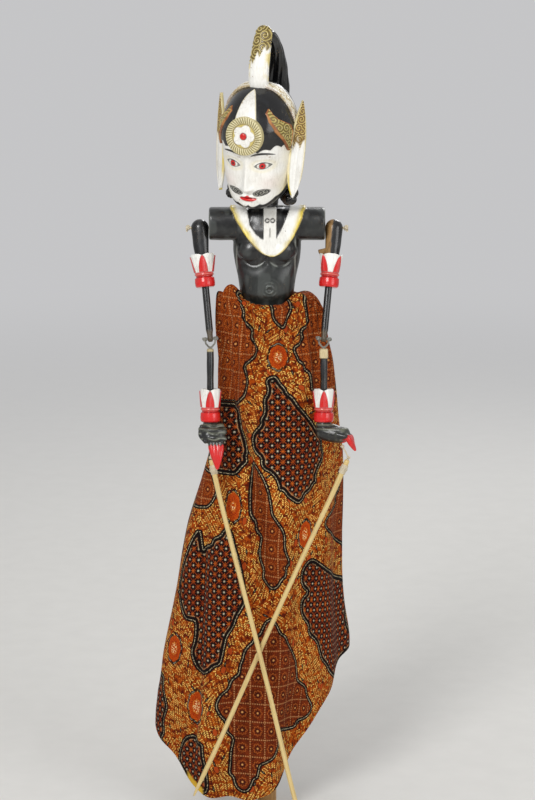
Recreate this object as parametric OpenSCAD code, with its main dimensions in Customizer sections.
// Rod puppet: a carved wooden figure with tied arms, two hand rods and a cloth skirt,
// turned and held by one central rod.
// Z is up, the figure faces -Y, and its own left side is +X.
// The origin is the centre of the lower end of the central rod.

/* [Central rod] */
// Diameter of the straight lower end
grip_end_d = 18; // [14:0.5:24]
// Length of the straight lower end
grip_end_len = 66; // [40:1:100]
// Diameter of the swollen grip above it
grip_d = 24; // [19:0.5:30]
// Length of the swollen grip
grip_len = 70; // [40:1:110]
// Diameter of the spindle that carries the torso and the head
spindle_d = 12; // [8:0.5:14]

/* [Torso] */
// Height of the torso's lower face above the rod's end
torso_z = 452; // [400:1:480]
// Height of the torso
torso_h = 127; // [115:1:140]
// Width of the chest
chest_w = 62; // [54:1:72]
// Depth of the chest
chest_d = 38; // [32:1:46]
// Distance between the two shoulder ends
shoulder_w = 106; // [92:1:124]
// Diameter of a shoulder
shoulder_d = 30; // [22:1:34]
// Height of the wound stop ring under the torso
stop_h = 12; // [6:1:20]
// Diameter of the wound stop ring
stop_d = 25; // [18:1:32]

/* [Head] */
// Height of the head's hinge line above the torso
head_lift = 21; // [19:1:28]
// Distance of the head's hinge line in front of the spindle
head_forward = 8; // [0:1:12]
// Width of the head
head_w = 66; // [56:1:76]
// Depth of the head
head_d = 82; // [70:1:92]
// Height of the head from chin to crown
head_h = 102; // [96:1:112]
// Diameter of the neck
neck_d = 21; // [17:0.5:24]
// Downward tilt of the face
head_pitch = 20; // [0:1:24]
// Turn of the face to its own right
head_yaw = 22; // [0:1:40]
// Sideways tilt of the crown to the figure's left
head_roll = 4; // [0:1:8]
// Diameter of the forehead disc
disc_d = 34; // [24:1:40]
// Thickness of the forehead disc
disc_t = 7; // [6:0.5:9]
// Width of the crown band
band_w = 10; // [6:0.5:12]
// Thickness of the crown band
band_t = 2.4; // [1.6:0.2:3]
// Height of the front plume above the crown
plume_h = 47; // [40:1:56]
// Height of an ear wing
wing_h = 88; // [70:1:96]
// Width of an ear wing
wing_w = 16; // [10:0.5:20]
// Thickness of an ear wing
wing_t = 3.6; // [2.5:0.2:5]

/* [Arms] */
// Length from shoulder pivot to elbow pivot
upper_arm_len = 102; // [90:1:115]
// Length from elbow pivot to the lower face of the wrist cuff
forearm_len = 76; // [68:1:88]
// Diameter of the rounded arm top
arm_top_d = 16; // [12:0.5:20]
// Diameter of the thin arm sticks
stick_d = 6.6; // [5:0.2:8]
// Height of an arm cuff
cuff_h = 30; // [24:1:36]
// Diameter of a cuff's flared rim
cuff_rim_d = 21.5; // [18:0.5:26]
// Diameter of a cuff's lower ring
cuff_ring_d = 18; // [15:0.5:21]
// Diameter of the hand at the wrist
hand_d = 19; // [15:0.5:23]
// Length of the fist along the fingers
fist_len = 17; // [12:1:24]
// Length of the finger tips
finger_len = 19; // [14:1:26]

/* [Rods and ties] */
// Length of a hand rod
hand_rod_len = 349; // [300:1:355]
// Diameter of a hand rod
hand_rod_d = 4.8; // [3.6:0.2:6]
// Length of the thread between hand and rod
thread_len = 12; // [8:1:20]
// Diameter of the arm cords
cord_d = 2.4; // [1.6:0.2:3]
// Diameter of the shoulder knots
knot_d = 5.6; // [4:0.2:7]

/* [Skirt] */
// Height of the lowest point of the hem above the rod's end
hem_z = 30; // [10:1:80]
// Largest width of the skirt
skirt_w = 175; // [150:1:190]
// Largest depth of the skirt
skirt_d = 102; // [90:1:112]
// Rise of the hem on the figure's left side
hem_rise_left = 128; // [0:1:150]
// Rise of the hem on the figure's right side
hem_rise_right = 66; // [0:1:120]
// Rise of the hem at the back
hem_rise_back = 40; // [0:1:100]
// Dip of the cloth's top edge at the front
gather_dip = 9; // [0:1:14]
// Depth of the folds at the hem
fold_depth = 4; // [0:0.5:6]
// Thickness of the cloth wall
cloth_t = 1.6; // [1:0.1:2.4]

/* [Hidden] */
// Gap between solids that move past each other
run_gap = 0.3;
// Radial clearance of a round running fit
fit_gap = 0.06;
// Radial clearance of a cord in its hole
cord_gap = 0.15;
$fn = 48;
head_sides = 32;
torso_sides = 32;
skirt_sides = 72;
tube_sides = 16;
hand_fn = 20;

spindle_r = spindle_d / 2;
neck_r = neck_d / 2;
cord_r = cord_d / 2;
stick_r = stick_d / 2;
arm_r = arm_top_d / 2;
rod_r = hand_rod_d / 2;
hand_r = hand_d / 2;

torso_top = torso_z + torso_h;
waist_z = torso_z + torso_h * 0.315;
shoulder_r = shoulder_d / 2;
shoulder_z = torso_top - shoulder_r;
shoulder_x = shoulder_w / 2;
pivot_x = shoulder_x + run_gap + arm_r;
pivot_z = shoulder_z - 4;
head_z = torso_top + head_lift;
neck_socket_depth = 20;
neck_z = torso_top - neck_socket_depth + 1;
spindle_top = head_z + 24;

// Stations of the torso: share of its height, half-width and half-depth as shares of the chest's,
// and shift to the back as a share of the chest's depth
torso_shape = [
    [0, 0.86, 0.90, 0], [0.12, 0.92, 0.98, 0], [0.26, 0.80, 0.86, 0], [0.31, 0.75, 0.82, 0],
    [0.40, 0.80, 0.98, -0.05], [0.50, 0.86, 0.98, -0.05], [0.60, 0.95, 0.96, -0.03],
    [0.72, 1, 1.04, -0.04], [0.84, 0.99, 1, -0.03], [0.93, 0.82, 0.86, 0], [1, 0.50, 0.72, 0]
];
torso_p = 2.3;

// Stations of the head above its turning point: share of its height, half-width as a share of the head's,
// and front and back as shares of the head's depth
head_shape = [
    [-0.068, 0.36, -0.41, -0.24], [-0.027, 0.58, -0.46, -0.06], [0.036, 0.75, -0.475, 0.14],
    [0.127, 0.87, -0.47, 0.29], [0.255, 0.97, -0.46, 0.40], [0.382, 1, -0.44, 0.45],
    [0.5, 1, -0.45, 0.47], [0.636, 0.97, -0.44, 0.475], [0.764, 0.84, -0.365, 0.43],
    [0.855, 0.63, -0.26, 0.36], [0.909, 0.40, -0.15, 0.28], [0.936, 0.12, -0.03, 0.17]
];
crown_z = head_h * 0.936;
crown_sink = head_h * 0.078;
disc_z = head_h * 0.645;
wing_y = head_d * 0.08;
wing_flare = 46;

// Stations of the skirt: share of the way from hem to waist, half-width as a share of the largest,
// centre to the left as a share of the largest width, and half-depth as a share of the largest
skirt_shape = [
    [-0.2, 1, -0.12, 1], [0.14, 1, -0.114, 1], [0.25, 1, -0.074, 1], [0.40, 0.90, -0.051, 0.94],
    [0.53, 0.83, -0.023, 0.84], [0.65, 0.74, 0.029, 0.74], [0.757, 0.66, 0.051, 0.66],
    [0.866, 0.61, 0.046, 0.62], [0.968, 0.56, 0.023, 0.58], [1.09, 0.52, 0.017, 0.52]
];
skirt_y = skirt_d * 0.07;

// Pose of the figure's own right arm and left arm: twist of the forearm, droop of the hand
hand_twist = [0, 72];
hand_droop = [48, 6];
arm_forward = 14;
arm_lean = 5.5;
forearm_forward = 9;
// Sideways and forward lean of the right and the left hand rod, and sideways lean of their threads
rod_lean = [14, 24.2];
rod_forward = [9.4, 4.4];
thread_lean = [0, -28];
finger_bend = 42;
knot_r = 1.6;
elbow_gap = 9;
tongue_w = 5;
bail_x = 4.1;
peg_len = 9;

// Value between the stations of a table, at column c
function station(table, x, c) = lookup(x, [for (row = table) [row[0], row[c]]]);
// Closed ring of points at height z, rounder for a small p and squarer for a large one
function ring(x, y, z, a, b, p, n) = [for (i = [0:n - 1])
    let (t = 360 * i / n, c = cos(t), s = sin(t))
    [x + a * sign(c) * pow(abs(c), 2 / p), y + b * sign(s) * pow(abs(s), 2 / p), z]];
function unit(v) = v / norm(v);
// Direction at point i of an open path
function heading(path, i) = unit(path[min(i + 1, len(path) - 1)] - path[max(i - 1, 0)]);
// Rings of half-size r[i] = [across, up] round each point of a path, with side as the across direction
function sweep(path, r, side, n) = [for (i = [0:len(path) - 1])
    let (h = heading(path, i), a = unit(side - (side * h) * h), b = cross(h, a))
    [for (k = [0:n - 1]) path[i] + r[i][0] * cos(360 * k / n) * a + r[i][1] * sin(360 * k / n) * b]];

// Solid skin over a stack of rings. A looped stack joins its last ring to its first.
module skin(rings, looped = false) {
    n = len(rings[0]);
    m = len(rings);
    last = looped ? m - 1 : m - 2;
    walls = [for (i = [0:last], k = [0:n - 1])
        [i * n + k, i * n + (k + 1) % n, ((i + 1) % m) * n + (k + 1) % n, ((i + 1) % m) * n + k]];
    caps = looped ? [] : [[for (k = [n - 1:-1:0]) k], [for (k = [0:n - 1]) (m - 1) * n + k]];
    faces = concat(walls, caps);
    polyhedron([for (r = rings) each r], [for (f = faces) [for (k = [len(f) - 1:-1:0]) f[k]]]);
}

// Round bar from p to q
module bar(p, q, r) {
    d = q - p;
    translate(p) rotate([0, acos(d.z / norm(d)), atan2(d.y, d.x)]) cylinder(h = norm(d), r = r);
}

// Places of the arm joints. side is -1 for the figure's own right and 1 for its left.
function arm(side) = side < 0 ? 0 : 1;
function shoulder_point(side) = [side * pivot_x, 0, pivot_z];
function arm_heading(side) = [
    -side * cos(arm_forward) * sin(arm_lean), -sin(arm_forward), -cos(arm_forward) * cos(arm_lean)];
function elbow_point(side) = shoulder_point(side) + upper_arm_len * arm_heading(side);
function forearm_heading() = [0, -sin(forearm_forward), -cos(forearm_forward)];
function wrist_point(side) = elbow_point(side) + forearm_len * forearm_heading();
// A direction of the hand, given in its own frame, turned with the forearm
function from_hand(side, v) =
    let (t = side * hand_twist[arm(side)], x = v.x * cos(t) - v.y * sin(t), y = v.x * sin(t) + v.y * cos(t))
    [x, y * cos(forearm_forward) + v.z * sin(forearm_forward),
        -y * sin(forearm_forward) + v.z * cos(forearm_forward)];
function fist_start() = [0, -1, -hand_r * 1.03];
function fist_heading(side) = [0, -cos(hand_droop[arm(side)]), -sin(hand_droop[arm(side)])];
function fist_end(side) = fist_start() + fist_len * fist_heading(side);
function finger_heading(side) =
    let (a = min(hand_droop[arm(side)] + finger_bend, 88))
    [0, -cos(a), -sin(a)];
// The thread's knot hangs just under the fist, behind fingers that point down
// and under those that point out
function thread_spot(side) =
    side < 0 ? fist_start() + [0, 4, -hand_r] : fist_end(side) + [0, 0, -hand_r * 0.9];
function thread_top(side) =
    wrist_point(side) + from_hand(side, thread_spot(side)) - [0, 0, knot_r + 2 * run_gap];
function thread_heading(side) = [-side * sin(thread_lean[arm(side)]), 0, -cos(thread_lean[arm(side)])];
function rod_top(side) = thread_top(side) + thread_len * thread_heading(side);

module at_upper_arm(side) translate(shoulder_point(side))
    rotate([-arm_forward, side * arm_lean, 0]) children();
module at_forearm(side) translate(elbow_point(side)) rotate([-forearm_forward, 0, 0]) children();
module at_hand(side) translate(wrist_point(side)) rotate([-forearm_forward, 0, 0])
    rotate([0, 0, side * hand_twist[arm(side)]]) children();
module at_thread(side) translate(thread_top(side)) rotate([0, side * thread_lean[arm(side)], 0]) children();
module at_rod(side) translate(rod_top(side))
    rotate([-rod_forward[arm(side)], side * rod_lean[arm(side)], 0]) children();
module at_head() translate([0, 0, head_z]) rotate([0, 0, -head_yaw]) translate([0, -head_forward, 0])
    rotate([head_pitch, 0, 0]) rotate([0, head_roll, 0]) children();

// Central rod and stop ring

module central_rod() color("burlywood") rotate_extrude() polygon([
    [0, 0], [grip_end_d / 2, 0], [grip_end_d / 2, grip_end_len],
    [grip_d / 2, grip_end_len + 8], [grip_d / 2, grip_end_len + grip_len - 8],
    [spindle_r, grip_end_len + grip_len + 16], [spindle_r, spindle_top], [0, spindle_top]]);

module stop_ring() color("wheat") translate([0, 0, torso_z - run_gap - stop_h]) difference() {
    cylinder(h = stop_h, d = stop_d);
    translate([0, 0, -1]) cylinder(h = stop_h + 2, r = spindle_r + fit_gap);
}

// Torso, skirt and what ties it

function torso_ring(z, grow = 0) = let (f = (z - torso_z) / torso_h)
    ring(0, station(torso_shape, f, 3) * chest_d, z, station(torso_shape, f, 1) * chest_w / 2 + grow,
        station(torso_shape, f, 2) * chest_d / 2 + grow, torso_p, torso_sides);

module torso() color("dimgray") difference() {
    union() {
        skin([for (s = torso_shape) torso_ring(torso_z + s[0] * torso_h)]);
        for (side = [-1, 1]) translate([side * chest_w / 4, 0, shoulder_z]) rotate([0, side * 90, 0])
            cylinder(h = shoulder_x - chest_w / 4, r = shoulder_r);
    }
    translate([0, 0, torso_z - 1]) cylinder(h = torso_h, r = spindle_r + fit_gap);
    translate([0, 0, torso_top - neck_socket_depth])
        cylinder(h = neck_socket_depth + 1, r = neck_r + run_gap);
    for (side = [-1, 1]) translate([side * (neck_r + 6), 0, pivot_z]) rotate([0, side * 90, 0])
        cylinder(h = shoulder_x, r = cord_r);
}

module shoulder_anchor(side) color("ivory") translate([side * (neck_r + 6), 0, pivot_z])
    rotate([0, side * 90, 0]) cylinder(h = shoulder_x - neck_r - 6, r = cord_r);

// Half-width, centre and half-depth of the skirt at a height
function skirt_share(z) = (z - hem_z) / (waist_z - hem_z);
function skirt_a(z) = station(skirt_shape, skirt_share(z), 1) * skirt_w / 2;
function skirt_x(z) = station(skirt_shape, skirt_share(z), 2) * skirt_w;
function skirt_b(z) = station(skirt_shape, skirt_share(z), 3) * skirt_d / 2;
// Height of the hem in direction t, lowest at the front
function hem(t) = hem_z + hem_rise_left * pow(max(cos(t), 0), 2) + hem_rise_right * pow(max(-cos(t), 0), 4)
    + hem_rise_back * pow(max(sin(t), 0), 2);
function fold(t, down) = fold_depth * pow(down, 1.3) * cos(9 * t + 50 * sin(t));
// Point of the cloth, down from 0 at the top of the drop to 1 at the hem, moved in by an inset
function cloth(t, down, inset) =
    let (top = waist_z - 12, z = top + down * (hem(t) - top), out = fold(t, down) - inset)
    [skirt_x(z) + (skirt_a(z) + out) * cos(t), skirt_y * min(down * 3, 1) + (skirt_b(z) + out) * sin(t), z];
function cloth_ring(down, inset) =
    [for (i = [0:skirt_sides - 1]) cloth(360 * i / skirt_sides, down, inset)];
// Gathered top of the cloth, between the torso's waist and the drop
function gather_ring(z, share, inset) = [for (i = [0:skirt_sides - 1])
    let (t = 360 * i / skirt_sides, h = z - gather_dip * pow(max(-sin(t), 0), 2) * (1 - 0.4 * share),
        f = (h - torso_z) / torso_h, grow = run_gap + share * 22 - inset,
        a = station(torso_shape, f, 1) * chest_w / 2 + grow,
        b = station(torso_shape, f, 2) * chest_d / 2 + grow * 0.62)
    [skirt_x(h) * share + a * sign(cos(t)) * pow(abs(cos(t)), 2 / torso_p),
        station(torso_shape, f, 3) * chest_d * (1 - share)
            + b * sign(sin(t)) * pow(abs(sin(t)), 2 / torso_p), h]];

// Rings of the cloth from the waist down to the hem, outside and inside
drop = [for (i = [0:12]) i / 12];
cloth_outside = concat(
    [gather_ring(waist_z + 1, 0, 0), gather_ring(waist_z + 8, 0.45, 0), gather_ring(waist_z + 2, 0.86, 0)],
    [for (d = drop) cloth_ring(d, 0)]);
cloth_inside = concat(
    [gather_ring(waist_z + 1 - cloth_t, 0, -0.2), gather_ring(waist_z + 8 - cloth_t, 0.45, cloth_t * 0.5),
        gather_ring(waist_z, 0.86, cloth_t)],
    [for (d = drop) cloth_ring(d, cloth_t)]);

// The skirt is one cloth. Its top, middle and hem are solids of their own, and meet at two of its rings.
module skirt(first, last) color("chocolate") skin(concat(
    [for (i = [first:last]) cloth_outside[i]], [for (i = [last:-1:first]) cloth_inside[i]]), looped = true);

module waist_cord() color("ivory") {
    line = torso_ring(waist_z - 14, run_gap + cord_r);
    n = len(line);
    skin([for (i = [0:n - 1])
        let (h = unit(line[(i + 1) % n] - line[(i + n - 1) % n]), a = cross(h, [0, 0, 1]))
        [for (k = [0:7]) line[i] + cord_r * (cos(45 * k) * a + sin(45 * k) * [0, 0, 1])]], looped = true);
}

// Head and its ornaments

module head_form(grow = 0) {
    skin([for (s = head_shape)
        let (back = s[3] * head_d, front = s[2] * head_d)
        ring(0, (back + front) / 2, s[0] * head_h + (s[0] > 0.8 ? grow : s[0] < 0 ? -grow : 0),
            s[1] * head_w / 2 + grow, (back - front) / 2 + grow, 2.2, head_sides)]);
}

module at_disc() translate([0, -head_d * 0.45 - 0.4, disc_z]) rotate([-107, 0, 0]) children();
module disc_seat() at_disc() cylinder(h = disc_t, d = disc_d);

module wing_peg(side, r) translate([side * head_w * 0.30, wing_y, head_h * 0.36]) rotate([0, side * 90, 0])
    cylinder(h = head_w * 0.26, r = r);

module head_block() color("whitesmoke") difference() {
    union() {
        at_head() head_form();
        at_head() hull() {
            translate([0, -head_d * 0.43, head_h * 0.36]) sphere(r = 3, $fn = hand_fn);
            translate([0, -head_d * 0.52, head_h * 0.17]) sphere(r = 4, $fn = hand_fn);
            translate([0, -head_d * 0.40, head_h * 0.15]) sphere(r = 6, $fn = hand_fn);
        }
        translate([0, 0, neck_z]) cylinder(h = head_z - neck_z + 20, r = neck_r);
    }
    translate([0, 0, neck_z - 1]) cylinder(h = spindle_top - neck_z + 1, r = spindle_r);
    at_head() disc_seat();
    at_head() for (side = [-1, 1]) wing_peg(side, 2.5);
}

module forehead_disc() color("gold") at_head() difference() {
    disc_seat();
    translate([0, -0.6, 0.18]) disc_ring();
}

// Groove between the disc's rope rim and its flower
module disc_ring() at_disc() difference() {
    cylinder(h = 1.6, d = disc_d * 0.62);
    translate([0, 0, -1]) cylinder(h = 4, d = disc_d * 0.52);
}

module band_form() intersection() {
    head_form(band_t);
    translate([-head_w, wing_y - band_w / 2, head_h * 0.46]) cube([2 * head_w, band_w, head_h]);
}

module crown_band() color("khaki") at_head() difference() {
    band_form();
    head_form();
}

// Outline of a temple leaf seen from the side, y back and z up
function leaf_outline() =
    let (edge = wing_y - band_w / 2 - 0.4)
    [for (p = [[-0.22, 0.835], [-0.242, 0.789], [-0.226, 0.747], [-0.165, 0.704], [-0.098, 0.652]])
            [p.x * head_d, p.y * head_h],
        [edge, 0.588 * head_h], [edge, 0.402 * head_h],
        for (p = [[-0.198, 0.473], [-0.232, 0.541], [-0.315, 0.652], [-0.311, 0.74], [-0.28, 0.802]])
            [p.x * head_d, p.y * head_h]];

module temple_leaf(side) color("goldenrod") at_head() difference() {
    intersection() {
        head_form(2);
        translate([side > 0 ? head_w * 0.2 : -head_w * 1.2, 0, 0]) rotate([90, 0, 90])
            linear_extrude(height = head_w) polygon(leaf_outline());
    }
    head_form();
}

// Outline of an ear wing in its own plane, y back and z up: round below and pointed above
function wing_half(t) = wing_w / 2
    * (1 - (t < 0.42 ? pow((0.42 - t) / 0.42, 3) : pow((t - 0.42) / 0.58, 2.4)));
function wing_outline() = [for (i = [0:20]) let (t = i / 20) [-wing_half(t), t * wing_h],
    for (i = [19:-1:1]) let (t = i / 20) [wing_half(t), t * wing_h]];

module wing_plate(side) translate([side * (head_w / 2 + wing_w * 0.14), wing_y - 6, head_h * 0.36])
    rotate([-20, side * 3, 0]) rotate([0, 0, side * -wing_flare])
    translate([0, 0, -wing_h * 0.45]) rotate([90, 0, 90])
    linear_extrude(height = wing_t, center = true) polygon(wing_outline());

module ear_wing(side) color("khaki") at_head() {
    difference() {
        wing_plate(side);
        head_form(band_t + 0.1);
    }
    wing_peg(side, 2.5);
}

// Path of the plume at the front of the crown, and of the hair roll behind it
plume_path = [for (i = [0:12]) let (t = i / 12)
    [0, wing_y - plume_h * (0.01 + 0.042 * sin(180 * min(t * 1.6, 1)) - 0.51 * pow(t, 2)),
        crown_z - crown_sink + (plume_h + crown_sink) * pow(t, 0.95)]];
roll_path = [for (i = [0:14]) let (a = -58 + 123 * i / 14)
    [0, head_d * 0.16 + head_d * 0.46 * cos(a), crown_z - crown_sink + plume_h * 1.128 * sin(a)]];

plume_size = [for (i = [0:12]) let (t = i / 12)
    plume_h * [0.19 - 0.042 * t + 0.026 * sin(180 * t), 0.138 - 0.032 * t] * (i == 12 ? 0.55 : 1)];
roll_size = [for (i = [0:14]) let (t = i / 14)
    head_w * [0.197 - 0.091 * t, 0.167 - 0.076 * t] * (i == 14 ? 0.5 : 1)];

module plume_form() skin(sweep(plume_path, plume_size, [1, 0, 0], tube_sides));

module front_plume() color("khaki") at_head() difference() {
    plume_form();
    head_form(band_t);
}

module hair_roll() color("dimgray") at_head() difference() {
    skin(sweep(roll_path, roll_size, [1, 0, 0], tube_sides));
    head_form();
    plume_form();
    band_form();
}

// Ball of carved hair
module curl(r) hull() sphere(r = r, $fn = hand_fn);

// Curls of hair under the ear, behind the lower end of the wing
module nape_curl(side) color("dimgray") at_head() difference() {
    union() {
        translate([side * head_w * 0.375, head_d * 0.085, head_h * 0.045]) curl(head_w * 0.124);
        translate([side * head_w * 0.417, -head_d * 0.055, -head_h * 0.047]) curl(head_w * 0.117);
        translate([side * head_w * 0.34, head_d * 0.01, -head_h * 0.085]) curl(head_w * 0.1);
    }
    head_form();
    wing_plate(side);
}

// Arms

module upper_arm(side) color("dimgray") difference() {
    at_upper_arm(side) {
        sphere(r = arm_r);
        translate([0, 0, -36]) cylinder(h = 36, r1 = stick_r + 2, r2 = arm_r - 0.05);
        translate([0, 0, -upper_arm_len + 4]) cylinder(h = upper_arm_len - 30, r = stick_r);
        intersection() {
            translate([-tongue_w / 2, -stick_r, -upper_arm_len]) cube([tongue_w, stick_d, 6]);
            translate([0, 0, -upper_arm_len]) cylinder(h = 6, r = stick_r);
        }
        translate([-tongue_w / 2, 0, -upper_arm_len]) rotate([0, 90, 0])
            cylinder(h = tongue_w, r = stick_r - 0.4);
    }
    translate(shoulder_point(side) - [arm_r + 1, 0, 0]) rotate([0, 90, 0])
        cylinder(h = arm_top_d + 2, r = cord_r + cord_gap);
    at_upper_arm(side) translate([-stick_d, 0, -upper_arm_len]) rotate([0, 90, 0])
        cylinder(h = stick_d * 2, r = cord_r + cord_gap);
}

module shoulder_cord(side) color("ivory") translate(shoulder_point(side)) rotate([0, side * 90, 0]) {
    translate([0, 0, -arm_r - 0.1]) cylinder(h = arm_top_d + 2, r = cord_r);
    translate([0, 0, arm_r + run_gap + knot_d / 2]) sphere(d = knot_d);
}

// Flared cuff with its rim up, standing on its lower ring
module cuff(hole_r) rotate_extrude() {
    rim = cuff_rim_d / 2;
    low = cuff_ring_d / 2;
    polygon([[hole_r, 0], [low - 1, 0], [low, 1.5], [low, cuff_h * 0.30], [low - 1, cuff_h * 0.36],
        [low - 1.6, cuff_h * 0.40], [rim, cuff_h], [rim - 2.2, cuff_h], [hole_r + 2.4, cuff_h * 0.62],
        [hole_r, cuff_h * 0.62]]);
}

module arm_cuff(side) color("firebrick") at_upper_arm(side)
    translate([0, 0, -36 - cuff_h * 0.62]) cuff(stick_r);

module elbow_cord(side) color("ivory") {
    translate(elbow_point(side)) rotate([0, side * arm_lean, 0]) {
        translate([-bail_x - 1, 0, 0]) rotate([0, 90, 0]) cylinder(h = 2 * bail_x + 2, r = cord_r);
        for (end = [-1, 1]) translate([end * (bail_x + 1), 0, 0]) sphere(r = 2.3);
    }
    at_forearm(side) {
        for (end = [-1, 1]) {
            bar([end * (bail_x + 0.6), 0, 0], [end * bail_x, 0, -4.4], 0.8);
            bar([end * bail_x, 0, -4.4], [0, 0, -elbow_gap + 1.2], 0.8);
        }
        translate([0, 0, -elbow_gap - 6]) cylinder(h = 8, r = cord_r);
    }
}

module forearm(side) color("dimgray") at_forearm(side) difference() {
    translate([0, 0, -forearm_len - peg_len + 1])
        cylinder(h = forearm_len + peg_len - 1 - elbow_gap, r = stick_r);
    translate([0, 0, -elbow_gap - 7]) cylinder(h = 8, r = cord_r + cord_gap);
}

module wrist_cuff(side) color("firebrick") at_forearm(side) translate([0, 0, -forearm_len]) cuff(stick_r);

module hand(side) color("dimgray") difference() {
    at_hand(side) {
        hull() {
            translate([0, 0, -1.5]) cylinder(h = 1.5, r = hand_r - 2, $fn = 24);
            translate(fist_start()) sphere(r = hand_r, $fn = hand_fn);
            translate(fist_end(side)) sphere(r = hand_r * 0.9, $fn = hand_fn);
        }
        hull() {
            translate(fist_end(side) + 2 * fist_heading(side)) sphere(r = hand_r * 0.72, $fn = hand_fn);
            translate(fist_end(side) + finger_len * finger_heading(side)) sphere(r = 2.4, $fn = hand_fn);
        }
    }
    at_forearm(side) translate([0, 0, -forearm_len - peg_len + 1]) cylinder(h = peg_len, r = stick_r);
}

// Hand rods and their threads

module rod_thread(side) color("ivory") at_thread(side) {
    sphere(r = knot_r);
    translate([0, 0, -thread_len]) cylinder(h = thread_len, r = 0.7);
    translate([0, 0, -thread_len]) sphere(r = knot_r);
}

module hand_rod(side) color("tan") at_rod(side) {
    translate([0, 0, -hand_rod_len + 14]) cylinder(h = hand_rod_len - 14 - knot_r - run_gap, r = rod_r);
    translate([0, 0, -hand_rod_len]) cylinder(h = 14, r1 = rod_r * 0.35, r2 = rod_r);
}

module rod_binding(side) color("ivory") at_rod(side) translate([0, 0, -16]) difference() {
    cylinder(h = 9, r = rod_r + 0.8);
    translate([0, 0, -1]) cylinder(h = 11, r = rod_r);
}

central_rod();
stop_ring();
torso();
shoulder_anchor(-1);  // right_shoulder_anchor
shoulder_anchor(1);  // left_shoulder_anchor
skirt(0, 7);  // skirt_top
skirt(7, 11);  // skirt_middle
skirt(11, 15);  // skirt_hem
waist_cord();
head_block();
forehead_disc();
crown_band();
temple_leaf(-1);  // right_temple_leaf
temple_leaf(1);  // left_temple_leaf
ear_wing(-1);  // right_ear_wing
ear_wing(1);  // left_ear_wing
front_plume();
hair_roll();
nape_curl(-1);  // right_nape_curl
nape_curl(1);  // left_nape_curl
shoulder_cord(-1);  // right_shoulder_cord
upper_arm(-1);  // right_upper_arm
arm_cuff(-1);  // right_arm_cuff
elbow_cord(-1);  // right_elbow_cord
forearm(-1);  // right_forearm
wrist_cuff(-1);  // right_wrist_cuff
hand(-1);  // right_hand
rod_thread(-1);  // right_rod_thread
hand_rod(-1);  // right_hand_rod
rod_binding(-1);  // right_rod_binding
shoulder_cord(1);  // left_shoulder_cord
upper_arm(1);  // left_upper_arm
arm_cuff(1);  // left_arm_cuff
elbow_cord(1);  // left_elbow_cord
forearm(1);  // left_forearm
wrist_cuff(1);  // left_wrist_cuff
hand(1);  // left_hand
rod_thread(1);  // left_rod_thread
hand_rod(1);  // left_hand_rod
rod_binding(1);  // left_rod_binding
